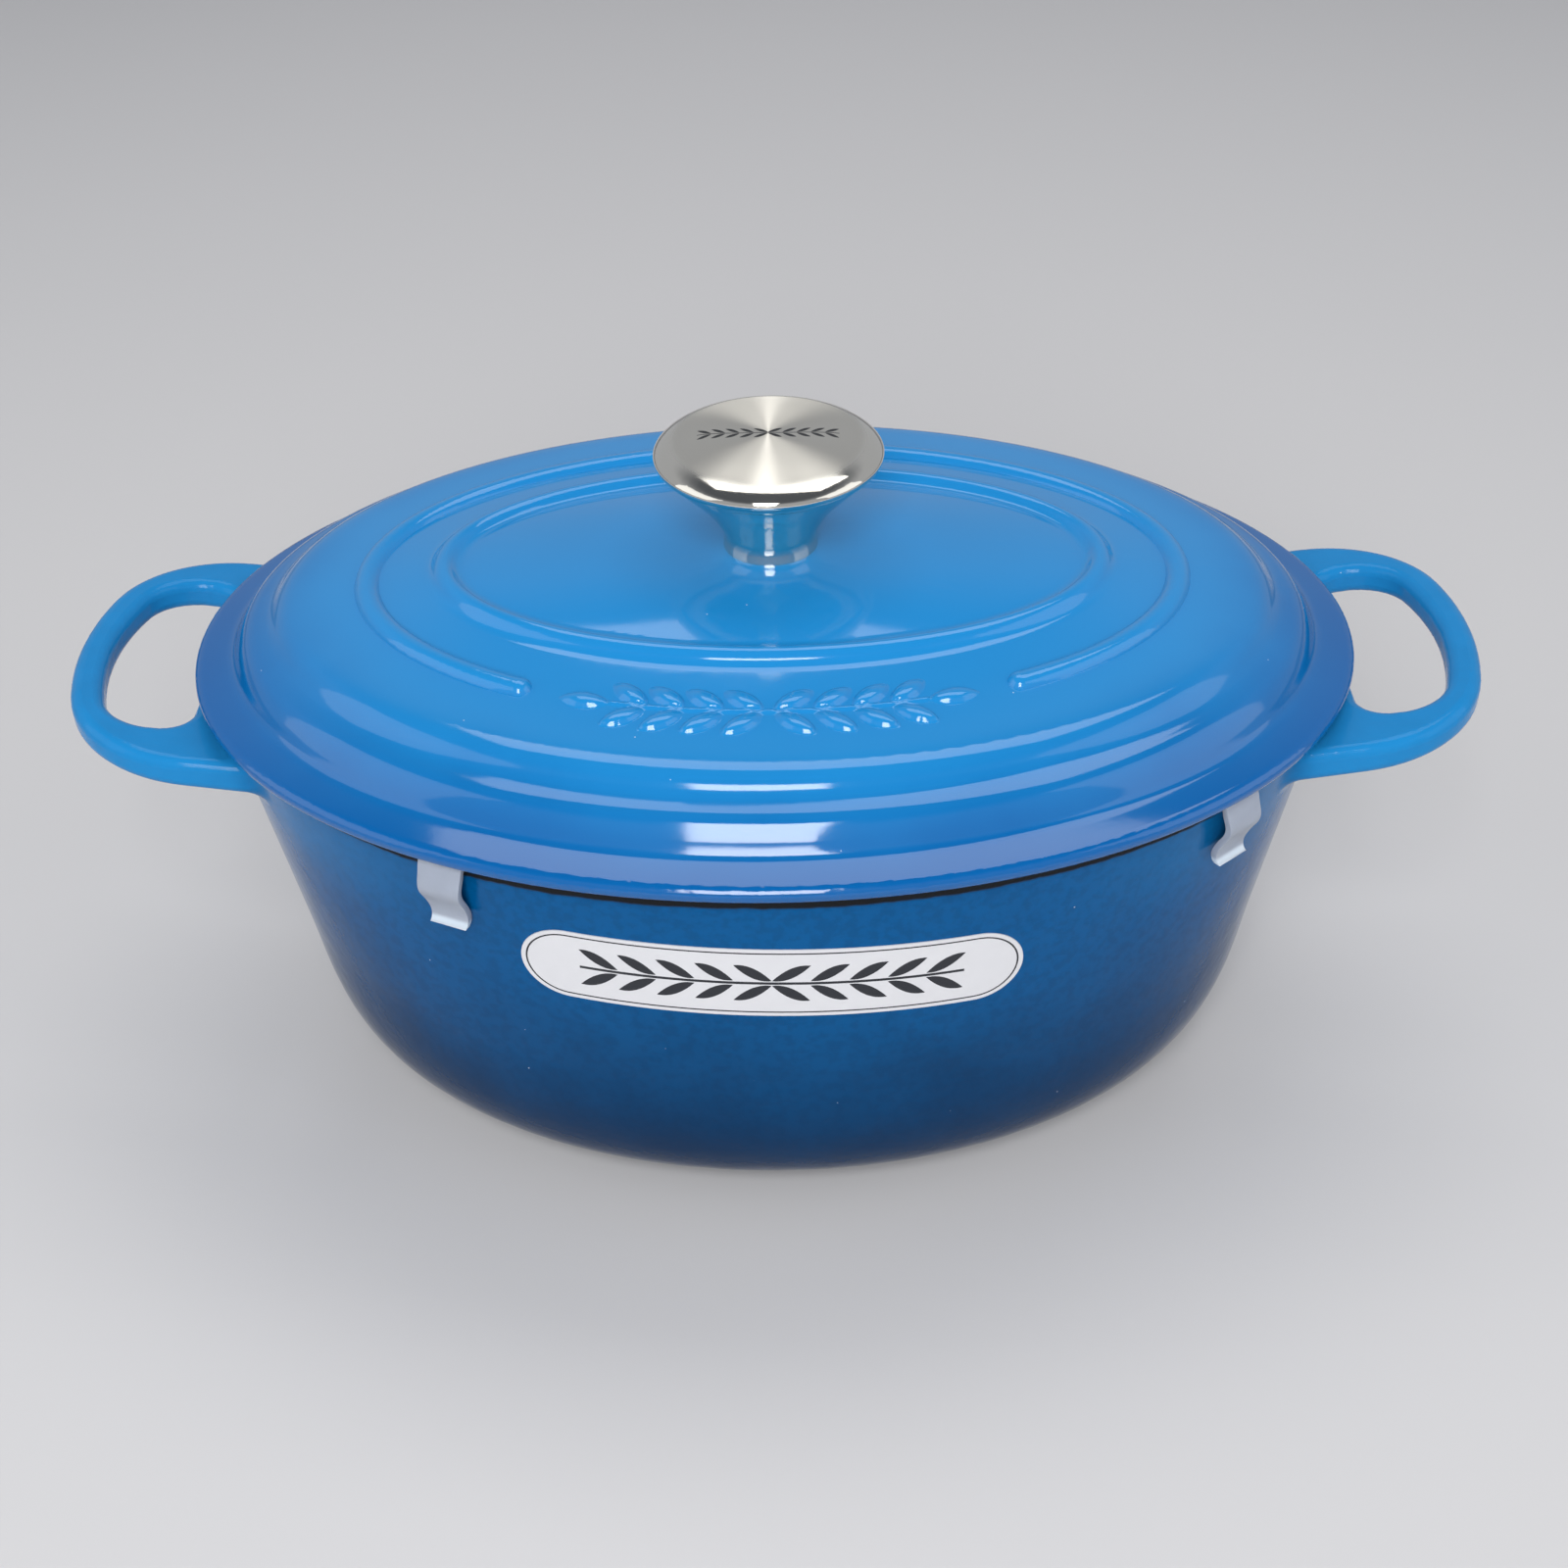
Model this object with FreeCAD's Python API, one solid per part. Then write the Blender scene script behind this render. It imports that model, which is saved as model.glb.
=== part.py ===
"""Oval enamelled cast iron dutch oven with its lid, its screwed-on metal knob, four rim clips and a label.

Millimetres. The origin is at the centre of the base, on the surface the pot stands on. +X runs along the
oval towards one loop handle, -Y is the front with the label, and +Z is up.
"""
import FreeCAD
import Part
import math
import os

V = FreeCAD.Vector

# ---- Driving dimensions -------------------------------------------------------------------------------
# Pot casting
rim_length = 288.5          # outside length of the rim
rim_width = 209.5           # outside width of the rim
rim_height = 113.7          # rim above the surface
base_length = 187.5         # outside length of the flat base
base_width = 124.6          # outside width of the flat base
wall = 4.0                  # side wall
floor = 5.0                 # thickness of the bottom
corner_height = 49.0        # where the side wall starts to turn in
side_draft = 12.3           # how far the half length shrinks from the rim down to the corner
corner_pull_side = 19.9     # how long the corner keeps the direction of the wall
corner_pull_base = 34.6     # how long the corner keeps the direction of the base
rim_rounding = 1.2
foot_width = 6.0            # standing ring round the base
foot_recess = 0.8           # how far the base is hollowed inside that ring

# Loop handles
handle_reach = 37.25        # outer end of a loop, beyond the rim
handle_width = 97.5         # across one loop, front to back
handle_bar_end = 8.0        # width of the bar at the outer end
handle_bar_side = 15.0      # width of the bar at the front and back
handle_thickness = 8.2      # at the outer end
handle_below_rim = 0.2      # top face at the wall, under the rim
handle_top_slope = 8.0      # degrees, rising outwards
handle_bottom_slope = 8.6   # degrees, rising outwards
handle_end_radius = 95.0    # plan radius of the outer end
handle_corner_radius = 34.0
loop_end_radius = 80.0      # plan radius of the outer end of the finger loop
loop_corner_radius = 14.0
loop_back_radius = 8.0
loop_web = 2.9              # casting left between the rim and the finger loop
handle_rounding = 2.8
handle_root = 40.0          # how far the loop runs in past the rim before the hollow is cut out of it
root_fillet = 8.0           # under the handle, where it joins the wall

# Lid casting
lid_overhang = 5.2          # lid edge beyond the rim, all round
lid_edge_thickness = 4.5
lid_brow_rise = 0.3         # widest point of the rounded edge, above its middle
lid_wall = 4.0
skirt_clearance = 3.0       # between the locating skirt and the pot wall
skirt_thickness = 3.6
skirt_depth = 5.0
skirt_toe_radius = 1.0
skirt_draft = 0.4           # the skirt's outer face leans in by this much
knob_seat_radius = 13.0
knob_seat_rise = 27.4       # seat above the middle of the lid's edge
screw_boss_radius = 10.0
ridge_inset = 46.2          # middle of the open ridge, in from the lid's edge
ridge_band_rise = 19.35     # surface under the open ridge, above the middle of the lid's edge
ridge_radius = 3.4
ridge_proud = 2.3
ridge_gap_angle = 35.0      # half of the gap at the front, as an angle of the ellipse

# Knob and its fastening
knob_height = 30.8
knob_radius = 28.6
cap_wall = 1.5
cap_seam_radius = 26.0
cap_seam_share = 0.72       # height of the seam under the cap, as a share of the knob's height
stem_foot_radius = 12.0
stem_waist_radius = 11.7
core_radius = 5.0
core_length = 14.0
thread_radius = 3.0
screw_hole_clearance = 0.4
screw_head_radius = 5.6
screw_head_height = 3.2
screw_length_in_core = 9.0
washer_radius = 8.0
washer_thickness = 1.2
slot_width = 1.4
slot_depth = 1.6

# Rim clips
clip_width = 11.4           # over the rim
clip_end_width = 9.6        # at the lip of the outer leg
clip_thickness = 1.7
clip_gap = 0.3              # between a clip and the lid, and between its inner leg and the wall
clip_drop = 17.5            # outer leg below the rim
clip_inner_drop = 13.0
clip_angles = {"front_left": -121.2, "front_right": -40.5, "rear_right": 58.0, "rear_left": 142.0}

# Label
label_length = 118.2
label_height = 22.5
label_thickness = 0.3
label_centre_height = 86.2
label_tilt = 1.6            # degrees, as it was stuck on

# ---- Sizes worked out from them -----------------------------------------------------------------------
side_difference_rim = (rim_length - rim_width) / 2
side_difference_base = (base_length - base_width) / 2
lid_base = rim_height + clip_thickness + clip_gap       # flat underside of the lid's edge
lid_middle = lid_base + lid_edge_thickness / 2          # middle of the lid's edge
lid_half_length = rim_length / 2 + lid_overhang
lid_half_width = rim_width / 2 + lid_overhang
knob_base = lid_middle + knob_seat_rise
plate_under = knob_base - lid_wall                      # flat boss under the lid, round the screw

ROUND_STEPS = 32
QUARTER_ROUND = 0.5523


# ---- Geometry helpers ---------------------------------------------------------------------------------
def round_poles():
    """Control points and knots of a smooth closed curve through a unit circle."""
    circle = Part.BSplineCurve()
    angles = [2 * math.pi * step / ROUND_STEPS for step in range(ROUND_STEPS)]
    circle.interpolate(Points=[V(math.cos(a), math.sin(a), 0) for a in angles], PeriodicFlag=True)
    return circle.getPoles(), circle.getKnots(), circle.getMultiplicities()


CIRCLE_POLES, CIRCLE_KNOTS, CIRCLE_MULTS = round_poles()


def oval_skin(section):
    """Face swept round the Z axis by a section of control points (half length, half width, height)."""
    degree = min(3, len(section) - 1)
    spans = len(section) - degree
    poles = [[V(a * p.x, b * p.y, z) for a, b, z in section] for p in CIRCLE_POLES]
    mults = [degree + 1] + [1] * (spans - 1) + [degree + 1]
    knots = [float(k) for k in range(spans + 1)]
    surface = Part.BSplineSurface()
    surface.buildFromPolesMultsKnots(poles, CIRCLE_MULTS, mults, CIRCLE_KNOTS, knots, True, False, 3, degree)
    return surface.toShape()


def oval_wire(ring):
    """Smooth oval through one ring (half length, half width, height)."""
    a, b, z = ring
    edge = Part.BSplineCurve()
    poles = [V(a * p.x, b * p.y, z) for p in CIRCLE_POLES]
    edge.buildFromPolesMultsKnots(poles, CIRCLE_MULTS, CIRCLE_KNOTS, True, 3)
    return Part.Wire([edge.toShape()])


def oval_band(section):
    """Face along one section: a plane where its two rings are level, and a swept face elsewhere."""
    if len(section) == 2 and section[0][2] == section[1][2]:
        inner, outer = sorted(section)
        return Part.Face(oval_wire(outer)).cut(Part.Face(oval_wire(inner))).Faces[0]
    return oval_skin(section)


def oval_solid(sections):
    """Closed solid from sections that follow each other, with a flat disc over each end."""
    faces = [oval_band(section) for section in sections]
    faces.append(Part.Face(oval_wire(sections[0][0])))
    faces.append(Part.Face(oval_wire(sections[-1][-1])))
    shell = Part.makeShell(faces)
    shell.sewShape()
    solid = Part.Solid(Part.Shell(shell.Faces))
    if solid.Volume < 0:
        solid.reverse()
    return solid


def quarter(start, corner, end):
    """Quarter round from start to end, rings of (half length, half width, height)."""
    k = QUARTER_ROUND
    first = tuple(s + k * (c - s) for s, c in zip(start, corner))
    second = tuple(e + k * (c - e) for e, c in zip(end, corner))
    return [start, first, second, end]


def turned(points):
    """Solid turned about the Z axis from a closed outline of (radius, height) points and curves."""
    face = Part.Face(Part.Wire(Part.__sortEdges__(points)))
    return face.revolve(V(0, 0, 0), V(0, 0, 1), 360)


def line(start, end):
    return Part.LineSegment(V(start[0], 0, start[1]), V(end[0], 0, end[1])).toShape()


def curve(points):
    spline = Part.BSplineCurve()
    spline.interpolate([V(r, 0, z) for r, z in points])
    return spline.toShape()


def outline(points):
    """Straight edges through the points, in order."""
    return [line(a, b) for a, b in zip(points, points[1:])]


def cylinder(radius, low, high):
    return Part.makeCylinder(radius, high - low, V(0, 0, low))


# ---- Pot ----------------------------------------------------------------------------------------------
def pot_ring(half_length, z):
    """Ring of the pot: its sides draw in less across the pot than along it."""
    share = z / rim_height
    difference = side_difference_base + (side_difference_rim - side_difference_base) * share
    return (half_length, half_length - difference, z)


def wall_half_length(z):
    """Outside half length of the straight side at a height."""
    share = (rim_height - z) / (rim_height - corner_height)
    return rim_length / 2 - side_draft * share


def pot_side(inset, bottom, top):
    return [pot_ring(wall_half_length(z) - inset, z) for z in (bottom, top)]


def pot_corner(inset, bottom):
    """Turn from the side wall into the base, inset into the casting and raised to its floor."""
    share = 1 - inset / corner_height
    run = math.hypot(side_draft, rim_height - corner_height)
    start = wall_half_length(corner_height) - inset
    pull = corner_pull_side * share
    low = base_length / 2
    points = [
        (start, corner_height),
        (start - pull * side_draft / run, corner_height - pull * (rim_height - corner_height) / run),
        (low + corner_pull_base * share, bottom),
        (low, bottom),
    ]
    return [pot_ring(a, z) for a, z in points]


def pot_outside(grow=0.0, top=None):
    """Everything inside the outer face of the pot, grown outwards if asked."""
    top = rim_height if top is None else top
    corner = pot_corner(-grow, 0.0)
    return oval_solid([corner[::-1], pot_side(-grow, corner_height, top)])


def pot_casting():
    rounding = rim_rounding
    low = rim_height - rounding
    foot_inner = base_length / 2 - foot_width
    half = rim_length / 2
    inner_half = half - wall
    outer_low = pot_ring(wall_half_length(low), low)
    inner_low = pot_ring(wall_half_length(low) - wall, low)
    outer_top = pot_ring(half - rounding, rim_height)
    inner_top = pot_ring(inner_half + rounding, rim_height)
    foot = [pot_ring(foot_inner, 0.0), pot_ring(base_length / 2, 0.0)]
    recess = [pot_ring(foot_inner - foot_recess, foot_recess), pot_ring(foot_inner, 0.0)]
    sections = [
        recess,
        foot,
        pot_corner(0.0, 0.0)[::-1],
        pot_side(0.0, corner_height, low),
        quarter(outer_low, pot_ring(half, rim_height), outer_top),
        [outer_top, inner_top],
        quarter(inner_top, pot_ring(inner_half, rim_height), inner_low),
        pot_side(wall, corner_height, low)[::-1],
        pot_corner(wall, floor),
    ]
    return oval_solid(sections)


# ---- Loop handles -------------------------------------------------------------------------------------
def rounded_end(reach, half_width, end_radius, corner_radius):
    """Corner centre and the points where a corner arc meets the side line and the end arc."""
    centre_y = half_width - corner_radius
    end_centre = reach - end_radius
    centre_x = end_centre + math.sqrt((end_radius - corner_radius) ** 2 - centre_y ** 2)
    length = math.hypot(centre_x - end_centre, centre_y)
    direction = ((centre_x - end_centre) / length, centre_y / length)
    joint = (end_centre + end_radius * direction[0], end_radius * direction[1])
    half_turn = (math.pi / 2 + math.atan2(direction[1], direction[0])) / 2
    middle = (centre_x + corner_radius * math.cos(half_turn), centre_y + corner_radius * math.sin(half_turn))
    return centre_x, joint, middle


def plan_line(start, end):
    return Part.LineSegment(V(start[0], start[1], 0), V(end[0], end[1], 0)).toShape()


def plan_arc(start, middle, end):
    return Part.Arc(V(*start, 0), V(*middle, 0), V(*end, 0)).toShape()


def flip(point):
    return (point[0], -point[1])


def loop_outline(reach, half_width, end_radius, corner_radius, back, back_radius):
    """Closed D outline, its round end at +X and its back at the given X."""
    side_x, joint, middle = rounded_end(reach, half_width, end_radius, corner_radius)
    corner = (side_x, half_width)
    edges = [
        plan_arc(flip(corner), flip(middle), flip(joint)),
        plan_arc(flip(joint), (reach, 0.0), joint),
        plan_arc(joint, middle, corner),
    ]
    if back_radius:
        back_radius = min(back_radius, 0.9 * (side_x - back))
        straight = (back + back_radius, half_width)
        turn = back_radius * (1 - math.sqrt(0.5))
        shoulder = (back + turn, half_width - turn)
        square = (back, half_width - back_radius)
        edges.append(plan_line(corner, straight))
        edges.append(plan_arc(straight, shoulder, square))
        edges.append(plan_line(square, flip(square)))
        edges.append(plan_arc(flip(square), flip(shoulder), flip(straight)))
        edges.append(plan_line(flip(straight), flip(corner)))
    else:
        edges.append(plan_line(corner, (back, half_width)))
        edges.append(plan_line((back, half_width), (back, -half_width)))
        edges.append(plan_line((back, -half_width), flip(corner)))
    return Part.Face(Part.Wire(Part.__sortEdges__(edges)))


def handle():
    """The +X loop, running into the wall of the pot."""
    reach = rim_length / 2 + handle_reach
    root = rim_length / 2 - handle_root
    plate = loop_outline(reach, handle_width / 2, handle_end_radius, handle_corner_radius, root, 0)
    loop_half = handle_width / 2 - handle_bar_side
    loop_back = rim_length / 2 + loop_web
    loop_reach = reach - handle_bar_end
    finger = loop_outline(
        loop_reach, loop_half, loop_end_radius, loop_corner_radius, loop_back, loop_back_radius
    )
    blank = plate.cut(finger).extrude(V(0, 0, 2 * rim_height))
    top_at_wall = rim_height - handle_below_rim
    rise = math.tan(math.radians(handle_top_slope))
    fall = math.tan(math.radians(handle_bottom_slope))
    spare = handle_thickness
    top_end = top_at_wall + rise * handle_reach
    low_end = top_end - handle_thickness
    length = reach - root + spare
    side = [
        (root - spare, top_end - rise * length),
        (reach + spare, top_end + rise * spare),
        (reach + spare, low_end + fall * spare),
        (root - spare, low_end - fall * length),
    ]
    profile = Part.Face(Part.makePolygon([V(x, -handle_width, z) for x, z in side + side[:1]]))
    loop = blank.common(profile.extrude(V(0, 2 * handle_width, 0)))
    clear = root + handle_rounding
    free = [edge for edge in loop.Edges if edge.BoundBox.XMax > clear and flat_edge(edge)]
    return loop.makeFillet(handle_rounding, free)


def flat_edge(edge):
    """True for an edge along the handle's top or bottom, not one that runs from top to bottom."""
    start, end = edge.Vertexes[0].Point, edge.Vertexes[-1].Point
    return math.hypot(start.x - end.x, start.y - end.y) > 1.0


def pot_body():
    loop = handle()
    other = loop.mirror(V(0, 0, 0), V(1, 0, 0))
    inside = oval_solid([pot_side(wall / 2, corner_height, 2 * rim_height)])
    stubs = [part.cut(inside) for part in (loop, other)]
    body = pot_casting().fuse(stubs)
    under = root_edges(body)
    if under:
        body = body.makeFillet(root_fillet, under)
    return body


def root_edges(body):
    """Edges where the underside of each handle meets the wall."""
    found = []
    for edge in body.Edges:
        box = edge.BoundBox
        on_wall = all(near_wall(v.Point) for v in edge.Vertexes)
        low = rim_height - 30 < box.ZMin and box.ZMax < rim_height - 8
        if on_wall and low and box.YLength > 20 and abs(box.Center.x) > 100:
            found.append(edge)
    return found


def near_wall(point):
    a, b, z = pot_ring(wall_half_length(point.z), point.z)
    return abs(math.hypot(point.x / a, point.y / b) - 1) < 0.01


# ---- Lid ----------------------------------------------------------------------------------------------
def lid_ring(inset, rise):
    """Ring of the lid, inset from its edge, with its rise above the middle of the edge."""
    return (lid_half_length - inset, lid_half_width - 0.97 * inset, lid_middle + rise)


def lid_top():
    """Control rings of the top: flange, two steps, a band for the open ridge, a closed ridge, the plate."""
    half = lid_edge_thickness / 2
    flange = [(2.4, half + 0.2), (5.5, 3.1), (8.6, 3.6)]
    first_step = [(10.4, 4.2), (11.4, 6.6), (13.4, 9.8), (15.4, 11.6)]
    second_step = [(18.2, 12.2), (20.8, 13.0), (22.4, 15.2), (25.0, 17.2), (28.0, 17.9)]
    band = [(34.0, 18.3), (43.0, 19.1), (52.0, 20.2), (60.6, 21.7)]
    closed_ridge = [(62.6, 21.9), (64.0, 24.6), (67.4, 25.4), (68.8, 22.7), (70.8, 22.9)]
    rings = [lid_ring(*point) for point in flange + first_step + second_step + band + closed_ridge]
    a, b, z = lid_ring(72.5, 23.3)
    seat = (knob_seat_radius, knob_seat_radius, knob_base)
    rings.append((a, b, z))
    for share, lift in ((0.35, 2.1), (0.7, 3.5), (0.92, 3.9)):
        rings.append((a + (seat[0] - a) * share, b + (seat[1] - b) * share, z + lift))
    rings.append(seat)
    return rings


def lid_under():
    """Control rings of the hollow underside, from the middle out to the skirt."""
    boss = screw_boss_radius
    skirt_inner = lid_overhang + wall + skirt_clearance + skirt_thickness
    under = [(76.0, 18.9), (62.0, 18.2), (46.0, 15.6), (34.0, 14.3), (27.0, 13.6), (21.0, 9.5), (17.4, 7.5)]
    rings = [(boss, boss, plate_under), (boss + 16, boss + 8, plate_under - 0.2)]
    rings += [lid_ring(*point) for point in under]
    rings.append(lid_ring(skirt_inner + 0.3, 4.0))
    return rings


def lid_casting():
    half = lid_edge_thickness / 2
    skirt_outer = lid_overhang + wall + skirt_clearance
    skirt_inner = skirt_outer + skirt_thickness
    skirt_low = skirt_outer + skirt_draft
    toe = skirt_toe_radius
    low = -half - skirt_depth
    top = lid_top()
    under = lid_under()
    brow = lid_ring(0.0, lid_brow_rise)
    lip = lid_ring(half, -half)
    inner_toe = lid_ring(skirt_inner, low + toe)
    sections = [
        top[::-1],
        quarter(top[0], lid_ring(0.0, half), brow),
        quarter(brow, lid_ring(0.0, -half), lip),
        [lip, lid_ring(skirt_outer, -half)],
        [lid_ring(skirt_outer, -half), lid_ring(skirt_low, low + toe)],
        quarter(lid_ring(skirt_low, low + toe), lid_ring(skirt_low, low), lid_ring(skirt_low + toe, low)),
        [lid_ring(skirt_low + toe, low), lid_ring(skirt_inner - toe, low)],
        quarter(lid_ring(skirt_inner - toe, low), lid_ring(skirt_inner, low), inner_toe),
        [inner_toe, under[-1]],
        under[::-1],
    ]
    return oval_solid(sections)


def open_ridge():
    """Raised bead round the lid that stops short of the front on both sides, with round ends."""
    a, b, z = lid_ring(ridge_inset, 0)
    z = lid_middle + ridge_band_rise + ridge_proud - ridge_radius
    gap = math.radians(ridge_gap_angle)
    start = -math.pi / 2 + gap
    span = 2 * math.pi - 2 * gap
    steps = 48
    angles = [start + span * step / steps for step in range(steps + 1)]
    path = Part.BSplineCurve()
    path.interpolate([V(a * math.cos(t), b * math.sin(t), z) for t in angles])
    first = V(a * math.cos(start), b * math.sin(start), z)
    tangent = path.tangent(path.FirstParameter)[0]
    section = Part.Wire([Part.Circle(first, tangent, ridge_radius).toShape()])
    bead = Part.Wire([path.toShape()]).makePipeShell([section], True, True)
    last = V(a * math.cos(angles[-1]), b * math.sin(angles[-1]), z)
    return [bead, Part.makeSphere(ridge_radius, first), Part.makeSphere(ridge_radius, last)]


def lid():
    body = lid_casting().fuse(open_ridge())
    hole = cylinder(thread_radius + screw_hole_clearance, plate_under - 5, knob_base + 5)
    return body.cut(hole)


# ---- Knob and fastening -------------------------------------------------------------------------------
def knob_z(share):
    return knob_base + knob_height * share


def knob_cap():
    seam = knob_z(cap_seam_share)
    outside = curve([(0, knob_z(1.0)), (10, knob_z(0.997)), (18, knob_z(0.98)), (24, knob_z(0.935)),
                     (knob_radius - 1, knob_z(0.875)), (knob_radius, knob_z(0.83)),
                     (knob_radius - 0.6, knob_z(0.78)), (cap_seam_radius, seam)])
    inner = cap_seam_radius - cap_wall
    inside = curve([(inner, seam), (inner + 0.9, knob_z(0.78)), (inner + 0.7, knob_z(0.83)),
                    (22, knob_z(0.89)), (16, knob_z(0.935)), (0, knob_z(1.0) - cap_wall)])
    edges = [outside, line((cap_seam_radius, seam), (inner, seam)), inside,
             line((0, knob_z(1.0) - cap_wall), (0, knob_z(1.0)))]
    return turned(edges)


def knob_stem():
    seam = knob_z(cap_seam_share)
    inner = cap_seam_radius - cap_wall
    core_top = knob_base + core_length
    outside = curve([(stem_foot_radius, knob_base), (stem_waist_radius + 0.15, knob_z(0.04)),
                     (stem_waist_radius, knob_z(0.10)), (13.1, knob_z(0.22)), (16.1, knob_z(0.37)),
                     (20.7, knob_z(0.54)), (24.3, knob_z(0.66)), (cap_seam_radius, seam)])
    hollow = curve([(inner, seam), (21.4, knob_z(0.62)), (15.2, knob_z(0.54)), (core_radius, core_top)])
    edges = [outside, line((cap_seam_radius, seam), (inner, seam)), hollow,
             line((core_radius, core_top), (core_radius, knob_base)),
             line((core_radius, knob_base), (stem_foot_radius, knob_base))]
    return turned(edges)


def knob_core():
    """Threaded bush pressed into the foot of the stem."""
    bush = cylinder(core_radius, knob_base, knob_base + core_length)
    return bush.cut(cylinder(thread_radius, knob_base, knob_base + core_length - 2))


def knob_screw():
    """Slotted pan-head screw, up through the lid into the core."""
    under = plate_under - washer_thickness
    shank = cylinder(thread_radius, under, knob_base + screw_length_in_core)
    head = cylinder(screw_head_radius, under - screw_head_height, under)
    rim = [edge for edge in head.Edges if abs(edge.BoundBox.ZMax - (under - screw_head_height)) < 0.01]
    head = head.makeFillet(screw_head_height * 0.5, [e for e in rim if len(e.Vertexes) == 1])
    slot = Part.makeBox(2 * screw_head_radius, slot_width, slot_depth)
    slot.translate(V(-screw_head_radius, -slot_width / 2, under - screw_head_height))
    return shank.fuse(head).cut(slot)


def screw_washer():
    low = plate_under - washer_thickness
    ring = cylinder(washer_radius, low, plate_under)
    return ring.cut(cylinder(thread_radius + screw_hole_clearance, low, plate_under))


# ---- Rim clips ----------------------------------------------------------------------------------------
def rim_frame(angle):
    """Outer rim point, outward direction and how far the wall leans in for each mm down, at an angle."""
    a, b = rim_length / 2, rim_width / 2
    t = math.radians(angle)
    point = V(a * math.cos(t), b * math.sin(t), 0)
    outward = V(b * math.cos(t), a * math.sin(t), 0).normalize()
    low = pot_ring(wall_half_length(corner_height), corner_height)
    lower = V(low[0] * math.cos(t), low[1] * math.sin(t), 0)
    lean = (point - lower).dot(outward) / (rim_height - corner_height)
    return point, outward, lean


def clip_outline(lean):
    """Side view of a clip, (distance out from the rim's outer edge, height above the rim).

    The outer leg bulges below the lid's edge, runs back to the wall and ends in a lip that turns out.
    """
    t = clip_thickness
    drop = clip_drop
    inner_drop = clip_inner_drop
    inner_face = -wall - clip_gap
    outer_leg = [(0.9, 0.2), (1.8, 0.12 * drop), (2.9, 0.24 * drop), (3.5, 0.36 * drop), (3.1, 0.48 * drop),
                 (2.2, 0.6 * drop), (1.4, 0.74 * drop), (1.2, 0.88 * drop), (1.7, 0.95 * drop), (2.8, drop)]
    front = [(out + t - lean * down, -down) for out, down in outer_leg]
    back = [(out - lean * down, -down) for out, down in outer_leg]
    crown = [(-wall / 2, t), (0.0, t - 0.05), (1.7, t - 0.55)]
    return front, back, crown, inner_face, inner_drop


def rim_clip(angle):
    point, outward, lean = rim_frame(angle)
    t = clip_thickness
    front, back, crown, inner_face, inner_drop = clip_outline(lean)
    upper = curve(crown + front)
    lip = line(front[-1], back[-1])
    lower = curve(back[::-1] + [(0.0, 0.0)])
    inner_low = inner_face - lean * inner_drop
    edges = [upper, lip, lower] + outline([
        (0.0, 0.0), (inner_face, 0.0), (inner_low, -inner_drop), (inner_low - t, -inner_drop),
        (inner_face - t, -0.6), (inner_face - t + 0.5, t - 0.3), (inner_face, t), (-wall / 2, t),
    ])
    face = Part.Face(Part.Wire(Part.__sortEdges__(edges)))
    clip = face.extrude(V(0, clip_width, 0))
    clip.translate(V(0, -clip_width / 2, 0))
    half, half_end, reach = clip_width / 2, clip_end_width / 2, clip_drop + clip_width
    # The clip narrows from the rim down to the lip
    taper = [V(-reach, -half, t), V(-reach, half, t), V(-reach, half, 0), V(-reach, half_end, -clip_drop),
             V(-reach, -half_end, -clip_drop), V(-reach, -half, 0), V(-reach, -half, t)]
    clip = clip.common(Part.Face(Part.makePolygon(taper)).extrude(V(2 * reach, 0, 0)))
    turn = math.degrees(math.atan2(outward.y, outward.x))
    clip.rotate(V(0, 0, 0), V(0, 0, 1), turn)
    clip.translate(V(point.x, point.y, rim_height))
    return clip


# ---- Label --------------------------------------------------------------------------------------------
def front_label():
    """Thin sticker with round ends, wrapped on the front of the pot."""
    skin = pot_outside(label_thickness).cut(pot_outside())
    straight = label_length - label_height
    blank = Part.makeBox(straight, 60, label_height, V(-straight / 2, -60, -label_height / 2))
    for side in (-1, 1):
        end = Part.makeCylinder(label_height / 2, 60, V(side * straight / 2, -60, 0), V(0, 1, 0))
        blank = blank.fuse(end)
    blank = blank.removeSplitter()
    blank.rotate(V(0, 0, 0), V(0, 1, 0), label_tilt)
    blank.translate(V(0, -rim_width / 2 + 40, label_centre_height))
    return skin.common(blank)


# ---- Export -------------------------------------------------------------------------------------------
def pieces():
    made = {
        "pot_body": pot_body(),
        "front_label": front_label(),
        "lid": lid(),
        "knob_cap": knob_cap(),
        "knob_stem": knob_stem(),
        "knob_core": knob_core(),
        "knob_screw": knob_screw(),
        "screw_washer": screw_washer(),
    }
    for place, angle in clip_angles.items():
        made["rim_clip_" + place] = rim_clip(angle)
    return made


def main():
    os.makedirs("parts", exist_ok=True)
    for name, shape in pieces().items():
        solids = shape.Solids
        piece = solids[0] if len(solids) == 1 else Part.makeCompound(solids)
        print(name, "solids", len(solids), "valid", piece.isValid(), "volume", round(piece.Volume))
        piece.exportStep("parts/" + name + ".step")


main()
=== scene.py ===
import math

import bpy
from bpy.props import (
    FloatProperty,
    FloatVectorProperty,
    IntProperty,
    PointerProperty,
)
from mathutils import Matrix, Vector


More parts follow.
